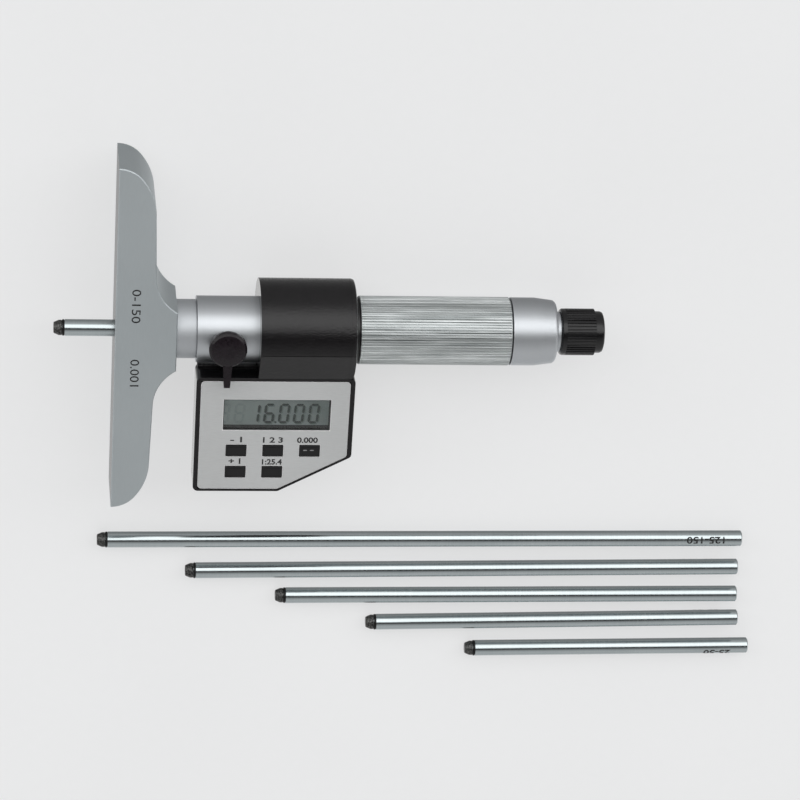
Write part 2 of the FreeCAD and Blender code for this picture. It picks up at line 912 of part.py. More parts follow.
def make_encoder():
    stator = turned("encoder_stator", rectangle(
        sleeve_end - mm.stator_thickness, sleeve_end,
        sleeve_radius + mm.seat_gap, cavity_radius - mm.seat_gap))
    rotor = turned("encoder_rotor", rectangle(
        collar_start, collar_start + mm.rotor_thickness,
        mm.collar_diameter / 2 + mm.seat_gap, cavity_radius - mm.rotor_clearance))
    return stator, rotor


def make_thimble_collar():
    tube_radius = mm.collar_diameter / 2
    flange_start = thimble_start - mm.collar_flange_length
    flange_radius = mm.collar_flange_diameter / 2
    return turned("thimble_collar", [
        (collar_start, thimble_bore_radius),
        (thimble_start, thimble_bore_radius),
        (thimble_start, flange_radius),
        (flange_start, flange_radius),
        (flange_start, tube_radius),
        (collar_start, tube_radius),
    ])


def make_thimble():
    radius = mm.thimble_diameter / 2
    bevel = mm.flute_depth
    body = turned("thimble", [
        (thimble_start, thimble_bore_radius),
        (thimble_end, thimble_bore_radius),
        (thimble_end, radius - bevel),
        (thimble_end - bevel, radius),
        (thimble_start + bevel, radius),
        (thimble_start, radius - bevel),
    ])
    half = mm.flute_width / 2
    start = thimble_start + mm.flute_margin
    sketch = sketch_on(body, "YZ_Plane", start)
    polygon(sketch, [
        (-half, radius + mm.flute_depth / 2),
        (0, radius - mm.flute_depth),
        (half, radius + mm.flute_depth / 2),
    ])
    cut = add_pocket(body, sketch, mm.thimble_length - mm.flute_margin * 2, forward=True)
    around_axis(body, cut, flute_count)
    return body


def make_thimble_cap():
    bore = mm.cap_bore_diameter / 2
    spigot_radius = thimble_bore_radius - mm.seat_gap
    radius = mm.cap_diameter / 2
    taper_start = cap_start + mm.cap_straight_length
    taper_radius = mm.cap_taper_diameter / 2
    nose = soft_corner(cap_end, taper_radius, mm.cap_nose_length,
                       taper_radius - mm.cap_end_diameter / 2)
    wall_start = cap_end - mm.cap_wall
    stud_hole = stud_radius + mm.seat_gap
    body = turned("thimble_cap", [
        (cap_start - mm.cap_spigot_length, bore),
        (wall_start, bore),
        (wall_start, stud_hole),
        (cap_end, stud_hole),
        *nose[::-1],
        (taper_start, radius),
        (cap_start, radius),
        (cap_start, spigot_radius),
        (cap_start - mm.cap_spigot_length, spigot_radius),
    ])
    return body


# The bush is fixed in the thimble, and its key slides in the spindle's keyway.
def make_drive_bush():
    bush_end = bush_start + mm.bush_length
    body = turned("drive_bush", rectangle(
        bush_start, bush_end, spindle_hole_radius, thimble_bore_radius - mm.seat_gap))
    half = mm.keyway_width / 2 - mm.key_clearance
    floor = spindle_radius - mm.keyway_depth + mm.key_clearance
    sketch = sketch_on(body, "YZ_Plane", bush_start)
    polygon(sketch, rectangle(-half, half, floor, spindle_radius + mm.overrun))
    add_pad(body, sketch, mm.bush_length)
    return body


def make_spindle():
    hole = rod_radius + mm.running_gap
    bottom = rod_rear + mm.magnet_length + mm.seat_gap
    body = turned("spindle", [
        (mm.spindle_nose, hole),
        (bottom, hole),
        (bottom, 0),
        (spindle_rear, 0),
        (spindle_rear, spindle_radius),
        (mm.spindle_nose, spindle_radius),
    ])
    sketch = sketch_on(body, "YZ_Plane", keyway_start)
    half = mm.keyway_width / 2
    polygon(sketch, rectangle(-half, half, spindle_radius - mm.keyway_depth,
                              spindle_radius + mm.overrun))
    add_pocket(body, sketch, spindle_rear - keyway_start + mm.overrun, forward=True)
    return body


def make_rod_magnet():
    start = rod_rear + mm.seat_gap
    return turned("rod_magnet", rectangle(
        start, rod_rear + mm.magnet_length, zero, rod_radius))


# A rod with its tip at x = start: steel body, relief ring, and a carbide tip.
def rod_profile(start, length):
    bevel = mm.rod_end_bevel
    seat = start + mm.tip_length
    groove_radius = mm.tip_root_diameter / 2 - mm.tip_ring_depth
    shank = seat + mm.tip_ring_width
    return [
        (seat, 0),
        (start + length, 0),
        (start + length, rod_radius - bevel),
        (start + length - bevel, rod_radius),
        (shank, rod_radius),
        (shank, groove_radius),
        (seat, groove_radius),
    ]


def tip_profile(start):
    return [
        (start, 0),
        (start + mm.tip_length, 0),
        (start + mm.tip_length, mm.tip_root_diameter / 2),
        (start + mm.tip_cone_length, mm.tip_root_diameter / 2),
        (start, mm.tip_end_diameter / 2),
    ]


def make_measuring_rod():
    turned("measuring_rod", rod_profile(-mm.reading, rod_length))
    turned("rod_tip", tip_profile(-mm.reading))


def make_spare_rods():
    ends = {i: (getattr(mm, "row_start_%d" % i), getattr(mm, "row_drop_%d" % i))
            for i in row_turns}
    for i, turn in row_turns.items():
        length = rod_length + mm.rod_step * i
        start, drop = ends[i]
        for name, profile in (("spare_rod_%d" % i, rod_profile(zero, length)),
                              ("spare_rod_tip_%d" % i, tip_profile(zero))):
            body = turned(name, profile)
            body.Placement.Rotation = FreeCAD.Rotation(FreeCAD.Vector(0, 0, 1), turn)
            bind(body, "Placement.Base.x", start)
            bind(body, "Placement.Base.y", -drop)
            bind(body, "Placement.Base.z", rod_radius - ring_radius)


def make_friction_knob():
    bore = stud_radius + mm.running_gap
    radius = mm.knob_diameter / 2
    hollow = mm.knob_hollow_diameter / 2
    web_end = knob_start + mm.knob_web
    soft = mm.knob_shoulder_radius
    body = turned("friction_knob", [
        (knob_start, bore),
        (web_end, bore),
        (web_end, hollow),
        (knob_end, hollow),
        (knob_end, radius),
        (knob_start + soft, radius),
        (knob_start + soft * arc_middle_share, radius - soft * arc_middle_share),
        (knob_start, radius - soft),
    ])
    half = mm.rib_groove_width / 2
    sketch = sketch_on(body, "YZ_Plane", knob_start + mm.knob_shoulder_length)
    polygon(sketch, [
        (-half, radius + mm.rib_depth),
        (-half / 2, radius - mm.rib_depth),
        (half / 2, radius - mm.rib_depth),
        (half, radius + mm.rib_depth),
    ])
    cut = add_pocket(body, sketch, mm.knob_length, forward=True)
    around_axis(body, cut, rib_count)
    return body


def make_knob_end_cap():
    radius = mm.end_cap_diameter / 2
    end = knob_end + mm.end_cap_length
    hollow = mm.knob_hollow_diameter / 2 - mm.seat_gap
    corner = soft_corner(end, radius, mm.end_cap_radius, mm.end_cap_radius)
    return turned("knob_end_cap", [
        (knob_end - mm.end_cap_spigot_length, 0),
        (end, 0),
        *corner[::-1],
        (knob_end, radius),
        (knob_end, hollow),
        (knob_end - mm.end_cap_spigot_length, hollow),
    ])


def make_ratchet():
    hole = mm.screw_shank_diameter / 2 + mm.seat_gap
    turned("ratchet_stud", [
        (stud_start, 0),
        (stud_end - mm.screw_shank_length, 0),
        (stud_end - mm.screw_shank_length, hole),
        (stud_end, hole),
        (stud_end, stud_radius),
        (stud_start, stud_radius),
    ])
    turned("ratchet_collar", rectangle(
        cap_end, cap_end + mm.ratchet_collar_length,
        stud_radius + mm.seat_gap, mm.ratchet_collar_diameter / 2))
    shank = mm.screw_shank_diameter / 2
    head_end = stud_end + mm.screw_head_length
    turned("knob_screw", [
        (stud_end - mm.screw_shank_length + mm.seat_gap, 0),
        (head_end, 0),
        (head_end, mm.screw_head_diameter / 2),
        (stud_end, mm.screw_head_diameter / 2),
        (stud_end, shank),
        (stud_end - mm.screw_shank_length + mm.seat_gap, shank),
    ])
    washer_start = knob_start + mm.knob_web + mm.running_gap
    outer = mm.screw_head_diameter / 2
    inner = stud_radius + mm.running_gap
    turned("friction_washer", rectangle(
        washer_start, washer_start + mm.washer_thickness, inner, outer))
    make_ratchet_spring(washer_start + mm.washer_thickness, inner, outer)


# Dished spring washers, stacked in opposite pairs.
def make_ratchet_spring(start, inner, outer):
    body = new_body("ratchet_spring")
    body.AllowCompound = True
    sketch = sketch_on(body, "XZ_Plane")
    pitch = (stud_end - start) / spring_count
    dish = pitch - mm.spring_thickness - mm.seat_gap
    for i in range(spring_count):
        near, far = (inner, outer) if i % 2 == 0 else (outer, inner)
        foot = start + pitch * i
        polygon(sketch, [
            (foot, near),
            (foot + dish, far),
            (foot + dish + mm.spring_thickness, far),
            (foot + mm.spring_thickness, near),
        ])
    return add_turn(body, sketch)


def make_lock_lever():
    body = new_body("lock_lever")
    radius = mm.lever_diameter / 2
    top = mm.lever_floor + mm.lever_height
    rim = mm.lever_floor + mm.lever_rim_height
    screw_hole = mm.lock_screw_diameter / 2 + mm.seat_gap
    screw_top = mm.lever_floor + mm.lever_height / 2
    sketch = sketch_on(body, "XZ_Plane", slide=mm.lock_station)
    polygon(sketch, [
        (0, screw_top),
        (screw_hole, screw_top),
        (screw_hole, mm.lever_floor),
        (radius, mm.lever_floor),
        (radius, rim),
        (radius - mm.lever_bevel, rim + mm.lever_bevel),
        (mm.lever_crown_diameter / 2, top),
        (0, top),
    ])
    add_turn(body, sketch, axis="V_Axis")
    root_half = mm.lever_tail_root_width / 2
    tip_half = mm.lever_tail_tip_width / 2
    sketch = sketch_on(body, "XY_Plane", mm.lever_floor + mm.lever_tail_lift)
    root_y = -(radius - mm.lever_bevel)
    polygon(sketch, [
        (mm.lock_station - root_half, root_y),
        (mm.lock_station - tip_half, -mm.lever_tail_reach),
        (mm.lock_station + tip_half, -mm.lever_tail_reach),
        (mm.lock_station + root_half, root_y),
    ])
    add_pad(body, sketch, mm.lever_tail_thickness)
    return body


def make_lock_screw():
    body = new_body("lock_screw")
    top = mm.lever_floor + mm.lever_height / 2 - mm.seat_gap
    sketch = sketch_on(body, "XY_Plane", top - mm.lock_screw_length)
    circle(sketch, (mm.lock_station, 0), mm.lock_screw_diameter / 2)
    add_pad(body, sketch, mm.lock_screw_length)
    return body


# The shoe's foot is hollowed to the spindle that it clamps.
def make_lock_shoe():
    body = new_body("lock_shoe")
    screw_foot = mm.lever_floor + mm.lever_height / 2 - mm.lock_screw_length
    top = screw_foot - mm.running_gap
    sketch = sketch_on(body, "XY_Plane", top - mm.lock_shoe_height)
    circle(sketch, (mm.lock_station, 0), mm.lock_screw_diameter / 2)
    add_pad(body, sketch, mm.lock_shoe_height)
    groove(body, rectangle(
        mm.lock_station - mm.lock_screw_diameter, mm.lock_station + mm.lock_screw_diameter,
        zero, spindle_hole_radius))
    return body


def make_buttons():
    top = plate_floor + mm.plate_thickness + mm.button_proud
    for name, place in button_places.items():
        body = plate(name, button_outline(place, mm.button_flange),
                     button_floor, mm.button_flange_thickness)
        sketch = sketch_on(body, "XY_Plane", button_floor)
        polygon(sketch, button_outline(place))
        add_pad(body, sketch, top - button_floor)
        sketch = sketch_on(body, "XY_Plane", top)
        polygon(sketch, button_outline(place, -mm.button_pad_inset))
        add_pad(body, sketch, mm.button_pad_height)


def make_gauge():
    make_base()
    make_neck()
    make_sleeve()
    make_barrel()
    make_adjusting_nut()
    make_ring_shell()
    make_ring_end_cap()
    make_box_shell()
    make_back_cover()
    make_cover_screws()
    make_faceplate()
    make_window_lens()
    make_display_panel()
    make_display_connectors()
    make_circuit_board()
    make_dome_switches()
    make_battery()
    make_battery_contacts()
    make_encoder()
    make_thimble_collar()
    make_thimble()
    make_thimble_cap()
    make_drive_bush()
    make_spindle()
    make_rod_magnet()
    make_measuring_rod()
    make_spare_rods()
    make_friction_knob()
    make_knob_end_cap()
    make_ratchet()
    make_lock_lever()
    make_lock_screw()
    make_lock_shoe()
    make_buttons()


def check_objects():
    for item in doc.Objects:
        if "Invalid" in item.State or "Error" in item.State:
            raise RuntimeError("%s failed: %s" % (item.Name, item.State))
    for item in doc.Objects:
        if item.TypeId == "PartDesign::Body":
            if item.Shape.isNull() or not item.Shape.isValid() or not item.Shape.Solids:
                raise RuntimeError("%s has no valid shape" % item.Label)


def write_parts():
    os.makedirs("parts", exist_ok=True)
    for item in doc.Objects:
        if item.TypeId == "PartDesign::Body":
            item.Shape.exportStep("parts/%s.step" % item.Label)
            solids = len(item.Shape.Solids)
            print("%-22s %d solid(s) %10.2f mm3" % (item.Label, solids, item.Shape.Volume))


make_gauge()
doc.recompute()
check_objects()
write_parts()
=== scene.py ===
import json
import math

import bpy
from mathutils import Matrix, Vector


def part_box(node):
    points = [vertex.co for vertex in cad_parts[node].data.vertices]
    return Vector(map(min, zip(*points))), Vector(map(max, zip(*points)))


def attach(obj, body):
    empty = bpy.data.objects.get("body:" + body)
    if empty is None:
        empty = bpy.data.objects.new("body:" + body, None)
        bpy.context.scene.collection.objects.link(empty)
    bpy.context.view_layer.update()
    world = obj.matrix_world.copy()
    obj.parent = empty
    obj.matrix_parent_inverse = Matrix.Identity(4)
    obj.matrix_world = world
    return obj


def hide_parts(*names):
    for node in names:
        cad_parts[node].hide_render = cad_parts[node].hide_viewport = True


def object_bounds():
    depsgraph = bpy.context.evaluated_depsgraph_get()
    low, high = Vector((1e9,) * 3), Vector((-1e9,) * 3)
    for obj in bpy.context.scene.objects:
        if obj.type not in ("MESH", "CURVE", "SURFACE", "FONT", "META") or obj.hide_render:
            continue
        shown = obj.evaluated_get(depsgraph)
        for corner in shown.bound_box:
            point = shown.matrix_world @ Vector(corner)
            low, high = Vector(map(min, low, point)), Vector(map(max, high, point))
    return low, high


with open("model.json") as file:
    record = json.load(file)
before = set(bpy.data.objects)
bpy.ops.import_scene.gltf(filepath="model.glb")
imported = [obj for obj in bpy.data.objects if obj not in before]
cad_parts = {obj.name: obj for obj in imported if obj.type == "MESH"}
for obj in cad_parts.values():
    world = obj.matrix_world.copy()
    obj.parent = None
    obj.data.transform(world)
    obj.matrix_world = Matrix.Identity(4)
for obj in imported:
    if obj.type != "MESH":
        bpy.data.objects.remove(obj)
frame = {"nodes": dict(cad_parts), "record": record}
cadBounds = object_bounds()
nodes = frame["nodes"]
behaviour = frame["record"]["behaviour"]
bodyOf = {node: body for body, names in behaviour["bodies"].items() for node in names}
slotOf = {part["node"]: part["material_slot"] for part in frame["record"]["subparts"]}
print("frame loaded,", len(nodes), "nodes")


# camera: where the photograph was taken from, beyond the top end of the base
camera = {
    "place": (-0.0363, 0.4305, 0.8572),
    "up": (-0.0062, 0.8844, -0.4668),
    "back": (-0.1170, 0.4629, 0.8786),
    "lens": 162,
    "sensor": 36,
    "farthest": 20,
}


def addCamera():
    data = bpy.data.cameras.new("camera")
    data.lens = camera["lens"]
    data.sensor_width = camera["sensor"]
    data.clip_end = camera["farthest"]
    eye = bpy.data.objects.new("camera", data)
    bpy.context.scene.collection.objects.link(eye)
    back = Vector(camera["back"]).normalized()
    right = Vector(camera["up"]).cross(back).normalized()
    turn = Matrix((right, back.cross(right), back)).transposed()
    eye.matrix_world = Matrix.Translation(camera["place"]) @ turn.to_4x4()
    bpy.context.scene.camera = eye


addCamera()


# light: a pale tent with one long soft box over the top end of the base
tent = {
    "strength": 1.0,
    "shades": [  # degrees from straight up towards the top end of the base, brightness
        (-180, 0.45),
        (-150, 0.85),
        (-112, 0.82),
        (-84, 0.66),
        (-60, 0.70),
        (-42, 0.70),
        (-26, 0.56),
        (-12, 0.38),
        (-3, 0.20),
        (3, 0.05),
        (19, 0.05),
        (25, 2.10),
        (64, 2.10),
        (72, 0.80),
        (91, 0.58),
        (108, 0.50),
        (128, 0.36),
        (180, 0.30),
    ],
}


def addTent():
    world = bpy.data.worlds.new("tent")
    bpy.context.scene.world = world
    world.use_nodes = True
    tree = world.node_tree
    shade = tree.nodes["Background"]
    where = tree.nodes.new("ShaderNodeTexCoord")
    split = tree.nodes.new("ShaderNodeSeparateXYZ")
    angle = tree.nodes.new("ShaderNodeMath")
    angle.operation = "ARCTAN2"
    share = tree.nodes.new("ShaderNodeMapRange")
    share.inputs["From Min"].default_value = -math.pi
    share.inputs["From Max"].default_value = math.pi
    ramp = tree.nodes.new("ShaderNodeValToRGB")
    stops = ramp.color_ramp.elements
    while len(stops) < len(tent["shades"]):
        stops.new(0.5)
    for stop, (degrees, value) in zip(stops, tent["shades"]):
        stop.position = (degrees + 180) / 360
        stop.color = (value, value, value, 1)
    tree.links.new(where.outputs["Generated"], split.inputs[0])
    tree.links.new(split.outputs["Y"], angle.inputs[0])
    tree.links.new(split.outputs["Z"], angle.inputs[1])
    tree.links.new(angle.outputs[0], share.inputs["Value"])
    tree.links.new(share.outputs["Result"], ramp.inputs["Fac"])
    tree.links.new(ramp.outputs["Color"], shade.inputs["Color"])
    shade.inputs["Strength"].default_value = tent["strength"]


addTent()
bpy.context.scene.view_settings.view_transform = "Standard"


# paints: two shades, a grain and a bump, all on object coordinates
usual = {
    "shine": 0.5,
    "grainDetail": 3,
    "cloud": (60, 60, 60),
    "cloudDetail": 2,
    "cloudShare": 0.5,
    "shadesAt": (0.35, 0.65),  # where on the noise the dark and the light shade stand
    "roughAt": (0.3, 0.7),  # where on the grain the smoothest and the roughest spots stand
}


def addNoise(tree, scale, detail):
    where = tree.nodes.new("ShaderNodeTexCoord")
    stretch = tree.nodes.new("ShaderNodeMapping")
    stretch.inputs["Scale"].default_value = scale
    noise = tree.nodes.new("ShaderNodeTexNoise")
    noise.inputs["Scale"].default_value = 1
    noise.inputs["Detail"].default_value = detail
    tree.links.new(where.outputs["Object"], stretch.inputs["Vector"])
    tree.links.new(stretch.outputs["Vector"], noise.inputs["Vector"])
    return noise.outputs["Fac"]


def newPaint(name, look):
    paint = bpy.data.materials.new(name)
    paint.use_nodes = True
    tree = paint.node_tree
    shader = tree.nodes["Principled BSDF"]
    shader.inputs["Metallic"].default_value = look.get("metal", 0)
    shader.inputs["Specular IOR Level"].default_value = look.get("shine", usual["shine"])
    shader.inputs["Transmission Weight"].default_value = look.get("clear", 0)
    shader.inputs["Emission Color"].default_value = (1, 1, 1, 1)
    shader.inputs["Emission Strength"].default_value = look.get("glow", 0)
    grain = addNoise(tree, look["grain"], usual["grainDetail"])
    cloud = addNoise(tree, look.get("cloud", usual["cloud"]), usual["cloudDetail"])
    blend = tree.nodes.new("ShaderNodeMix")
    blend.inputs["Factor"].default_value = look.get("cloudShare", usual["cloudShare"])
    tree.links.new(grain, blend.inputs["A"])
    tree.links.new(cloud, blend.inputs["B"])
    ramp = tree.nodes.new("ShaderNodeValToRGB")
    dark, light = ramp.color_ramp.elements
    dark.position, light.position = usual["shadesAt"]
    dark.color = (*look["dark"], 1)
    light.color = (*look["light"], 1)
    rough = tree.nodes.new("ShaderNodeMapRange")
    ends = zip(("From Min", "From Max", "To Min", "To Max"), (*usual["roughAt"], *look["rough"]))
    for end, value in ends:
        rough.inputs[end].default_value = value
    tree.links.new(blend.outputs["Result"], ramp.inputs["Fac"])
    tree.links.new(ramp.outputs["Color"], shader.inputs["Base Color"])
    tree.links.new(grain, rough.inputs["Value"])
    tree.links.new(rough.outputs["Result"], shader.inputs["Roughness"])
    if look.get("bump"):
        bump = tree.nodes.new("ShaderNodeBump")
        bump.inputs["Distance"].default_value = look["bump"]
        tree.links.new(grain, bump.inputs["Height"])
        tree.links.new(bump.outputs["Normal"], shader.inputs["Normal"])
    return paint


# finishes: one for each of the record's material slots, and a few for marks
finishes = {
    "base_steel": {"dark": (0.48, 0.52, 0.535), "light": (0.53, 0.57, 0.585), "metal": 1,
                   "rough": (0.54, 0.60), "grain": (9000, 500, 9000), "cloud": (40, 25, 40),
                   "bump": 0.000002},
    "satin_chrome": {"dark": (0.50, 0.52, 0.54), "light": (0.53, 0.55, 0.57), "metal": 1,
                     "rough": (0.41, 0.45), "grain": (9000, 80, 80), "bump": 0.0000004},
    "machined_steel": {"dark": (0.50, 0.50, 0.51), "light": (0.62, 0.62, 0.63), "metal": 1,
                       "rough": (0.22, 0.36), "grain": (9000, 90, 90), "bump": 0.000002},
    "ground_steel": {"dark": (0.42, 0.465, 0.475), "light": (0.48, 0.525, 0.535), "metal": 1,
                     "rough": (0.16, 0.22), "grain": (7000, 120, 120), "cloud": (60, 300, 300)},
    "thimble_chrome": {"dark": (0.28, 0.30, 0.30), "light": (0.74, 0.77, 0.77), "metal": 1,
                       "rough": (0.36, 0.52), "grain": (25, 2600, 2600), "cloud": (120, 900, 900),
                       "cloudShare": 0.2, "bump": 0.00003},
    "brass": {"dark": (0.60, 0.40, 0.14), "light": (0.74, 0.52, 0.22), "metal": 1,
              "rough": (0.25, 0.38), "grain": (8000, 90, 90), "bump": 0.000002},
    "housing_black": {"dark": (0.0020, 0.0016, 0.0020), "light": (0.0050, 0.0040, 0.0048),
                      "shine": 0.4, "rough": (0.16, 0.24), "grain": (2300, 2300, 2300),
                      "cloud": (300, 300, 300), "bump": 0.0001},
    "screw_steel": {"dark": (0.16, 0.16, 0.17), "light": (0.25, 0.25, 0.26), "metal": 1,
                    "rough": (0.28, 0.42), "grain": (4000, 4000, 4000), "bump": 0.000003},
    "faceplate_aluminium": {"dark": (0.48, 0.49, 0.49), "light": (0.57, 0.58, 0.58), "metal": 0.35,
                            "rough": (0.42, 0.55), "grain": (500, 9000, 9000),
                            "cloud": (30, 30, 30), "bump": 0.000002},
    "window_clear": {"dark": (0.95, 0.98, 0.96), "light": (0.97, 0.99, 0.98), "clear": 1,
                     "rough": (0.0, 0.04), "grain": (200, 200, 200)},
    "display_glass": {"dark": (0.165, 0.205, 0.200), "light": (0.290, 0.330, 0.330), "shine": 0.2,
                      "rough": (0.3, 0.4), "grain": (60, 60, 60), "cloud": (70, 110, 60),
                      "cloudShare": 0.9},
    "connector_rubber": {"dark": (0.40, 0.38, 0.35), "light": (0.55, 0.52, 0.48),
                         "rough": (0.55, 0.7), "grain": (9000, 900, 900)},
    "board_green": {"dark": (0.02, 0.11, 0.045), "light": (0.04, 0.18, 0.075),
                    "rough": (0.3, 0.45), "grain": (1500, 1500, 1500), "bump": 0.000006},
    "contact_metal": {"dark": (0.60, 0.50, 0.28), "light": (0.75, 0.64, 0.40), "metal": 1,
                      "rough": (0.2, 0.35), "grain": (3000, 3000, 3000)},
    "cell_steel": {"dark": (0.55, 0.55, 0.55), "light": (0.66, 0.66, 0.66), "metal": 1,
                   "rough": (0.2, 0.32), "grain": (2500, 2500, 2500), "bump": 0.000002},
    "encoder_board": {"dark": (0.03, 0.13, 0.05), "light": (0.06, 0.20, 0.08),
                      "rough": (0.3, 0.45), "grain": (1500, 1500, 1500)},
    "collar_black": {"dark": (0.003, 0.003, 0.003), "light": (0.007, 0.007, 0.007),
                     "rough": (0.3, 0.42), "grain": (6000, 200, 200), "bump": 0.000003},
    "magnet": {"dark": (0.50, 0.50, 0.50), "light": (0.64, 0.64, 0.64), "metal": 1,
               "rough": (0.15, 0.28), "grain": (2500, 2500, 2500)},
    "carbide": {"dark": (0.004, 0.004, 0.005), "light": (0.14, 0.14, 0.135), "metal": 0.8,
                "rough": (0.30, 0.5), "grain": (2600, 2600, 2600), "bump": 0.00008,
                "cloudShare": 0.1},
    "knob_black": {"dark": (0.0020, 0.0018, 0.0022), "light": (0.0048, 0.0044, 0.0050),
                   "shine": 0.45, "rough": (0.18, 0.28), "grain": (3500, 3500, 3500),
                   "bump": 0.00001},
    "lever_black": {"dark": (0.0028, 0.0012, 0.0024), "light": (0.0085, 0.0045, 0.0075),
                    "shine": 0.3, "rough": (0.24, 0.34), "grain": (1100, 1100, 1100),
                    "bump": 0.00008},
    "button_rubber": {"dark": (0.0022, 0.0022, 0.0025), "light": (0.0055, 0.0055, 0.0060),
                      "shine": 0.4, "rough": (0.42, 0.6), "grain": (3500, 3500, 3500),
                      "bump": 0.000008},
    "housingGloss": {"dark": (0.0025, 0.0025, 0.0028), "light": (0.0055, 0.0055, 0.0060),
                     "rough": (0.10, 0.16), "grain": (2600, 2600, 2600)},
    "markInk": {"dark": (0.012, 0.013, 0.014), "light": (0.03, 0.03, 0.03), "shine": 0.2,
                "rough": (0.5, 0.65), "grain": (3000, 3000, 3000)},
    "keyInk": {"dark": (0.020, 0.020, 0.020), "light": (0.045, 0.045, 0.045), "shine": 0.2,
               "rough": (0.5, 0.65), "grain": (3000, 3000, 3000)},
    "segmentDark": {"dark": (0.006, 0.016, 0.014), "light": (0.014, 0.028, 0.025), "shine": 0.1,
                    "rough": (0.35, 0.5), "grain": (800, 800, 800)},
    "segmentShadow": {"dark": (0.115, 0.150, 0.145), "light": (0.150, 0.185, 0.180), "shine": 0.1,
                      "rough": (0.35, 0.5), "grain": (800, 800, 800)},
    "segmentFaint": {"dark": (0.200, 0.238, 0.233), "light": (0.245, 0.285, 0.280), "shine": 0.1,
                     "rough": (0.3, 0.4), "grain": (800, 800, 800)},
    # black on the lens's sides, and painted shade for the display's border
    "blackEdgeAndPaintedShade": {"dark": (0.002, 0.003, 0.003), "light": (0.005, 0.006, 0.006), "shine": 0.1,
                  "rough": (0.5, 0.6), "grain": (800, 800, 800)},
    "ringRubber": {"dark": (0.001, 0.001, 0.001), "light": (0.004, 0.004, 0.004), "shine": 0.3,
                   "rough": (0.4, 0.6), "grain": (2500, 2500, 2500), "bump": 0.00001},
    # near white on the faceplate's bevels: a painted highlight
    "plateEdgeHighlight": {"dark": (0.90, 0.90, 0.90), "light": (0.97, 0.97, 0.97), "metal": 0.8,
                  "rough": (0.35, 0.45), "grain": (2000, 2000, 2000)},
    # the base's end faces: a smoother lapped finish, with the colour darkened as painted shade
    "lappedAndShadedSteel": {"dark": (0.15, 0.155, 0.16), "light": (0.20, 0.205, 0.21), "metal": 1,
                    "rough": (0.3, 0.4), "grain": (400, 7000, 400)},
    "neckSatin": {"dark": (0.50, 0.52, 0.54), "light": (0.53, 0.55, 0.57), "metal": 1,
                  "rough": (0.54, 0.58), "grain": (9000, 80, 80), "bump": 0.0000004},
    "keyDash": {"dark": (0.20, 0.20, 0.21), "light": (0.3, 0.3, 0.3),
                "rough": (0.4, 0.5), "grain": (3000, 3000, 3000)},
}
paints = {name: newPaint(name, look) for name, look in finishes.items()}
for name, node in nodes.items():
    node.data.materials.clear()
    node.data.materials.append(paints[slotOf[name]])
print("finishes are on,", len(paints))


# table: a plain pale top under the spare rods, left out of the gauge's own reflections
table = {
    "size": 6.0,
    "centre": (0.05, 0),
    "gap": 0.00005,
    "paint": {"dark": (0.26, 0.265, 0.27), "light": (0.28, 0.285, 0.29), "shine": 0,
              "glow": 0.57, "rough": (0.65, 0.75), "grain": (300, 300, 300), "cloud": (9, 9, 9),
              "cloudShare": 0.8},
}


def addTable():
    low, high = cadBounds
    place = (*table["centre"], low.z - table["gap"])
    bpy.ops.mesh.primitive_plane_add(size=table["size"], location=place)
    top = bpy.context.object
    top.name = "table"
    top.visible_glossy = False
    top.visible_diffuse = False
    top.data.materials.append(newPaint("tablePaint", table["paint"]))


addTable()
print("camera, tent and table are in place")


def chooseOnly(piece):
    bpy.ops.object.select_all(action="DESELECT")
    piece.select_set(True)
    bpy.context.view_layer.objects.active = piece


# A block of this size with its middle here.
def newBlock(size, middle):
    bpy.ops.object.select_all(action="DESELECT")
    bpy.ops.mesh.primitive_cube_add(size=1)
    block = bpy.context.object
    block.data.transform(Matrix.Translation(middle) @ Matrix.Diagonal((*size, 1)))
    return block


def newCopy(name, mesh):
    piece = bpy.data.objects.new(name, mesh.copy())
    bpy.context.scene.collection.objects.link(piece)
    return piece


def dress(piece, paintName, body):
    piece.data.materials.clear()
    piece.data.materials.append(paints[paintName])
    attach(piece, body)


def joined(pieces, name):
    bpy.ops.object.select_all(action="DESELECT")
    for piece in pieces:
        piece.select_set(True)
    bpy.context.view_layer.objects.active = pieces[0]
    bpy.ops.object.join()
    whole = bpy.context.object
    whole.name = name
    return whole


# soft copies: every node that shows, with its edges eased
spareRods = range(1, 6)
skins = {
    "smoothTo": 30,  # degrees between two faces
    "sharpFrom": 28,
    "flat": 0.3,
    "merge": 0.000002,
    "ends": 0.95,  # how much of a face's normal lies along the gauge
    "highlightBevels": (0.2, 0.95),  # how much of a face's normal points up
    "sides": 0.3,  # the most that a side's normal points up
    "lensSides": 0.5,
    "easing": {  # node: width of the eased edge, steps
        "base": (0.00006, 2),
        "neck": (0.00012, 2),
        "sleeve": (0.00018, 2),
        "ring_shell": (0.00018, 2),
        "ring_end_cap": (0.00018, 2),
        "thimble_collar": (0.0001, 2),
        "thimble": (0.00003, 1),
        "thimble_cap": (0.0001, 2),
        "ratchet_collar": (0.00008, 2),
        "friction_knob": (0.00005, 1),
        "knob_end_cap": (0.0001, 2),
        "lock_lever": (0.00012, 3),
        "faceplate": (0.00016, 2),
        "back_cover": (0.0002, 2),
        "measuring_rod": (0, 0),
        "rod_tip": (0.0002, 3),
        "spindle": (0, 0),
    },
}
for number in spareRods:
    skins["easing"]["spare_rod_%d" % number] = skins["easing"]["measuring_rod"]
    skins["easing"]["spare_rod_tip_%d" % number] = skins["easing"]["rod_tip"]
for key in ("minus", "preset", "zero", "plus", "unit"):
    skins["easing"]["button_" + key] = (0.00004, 2)


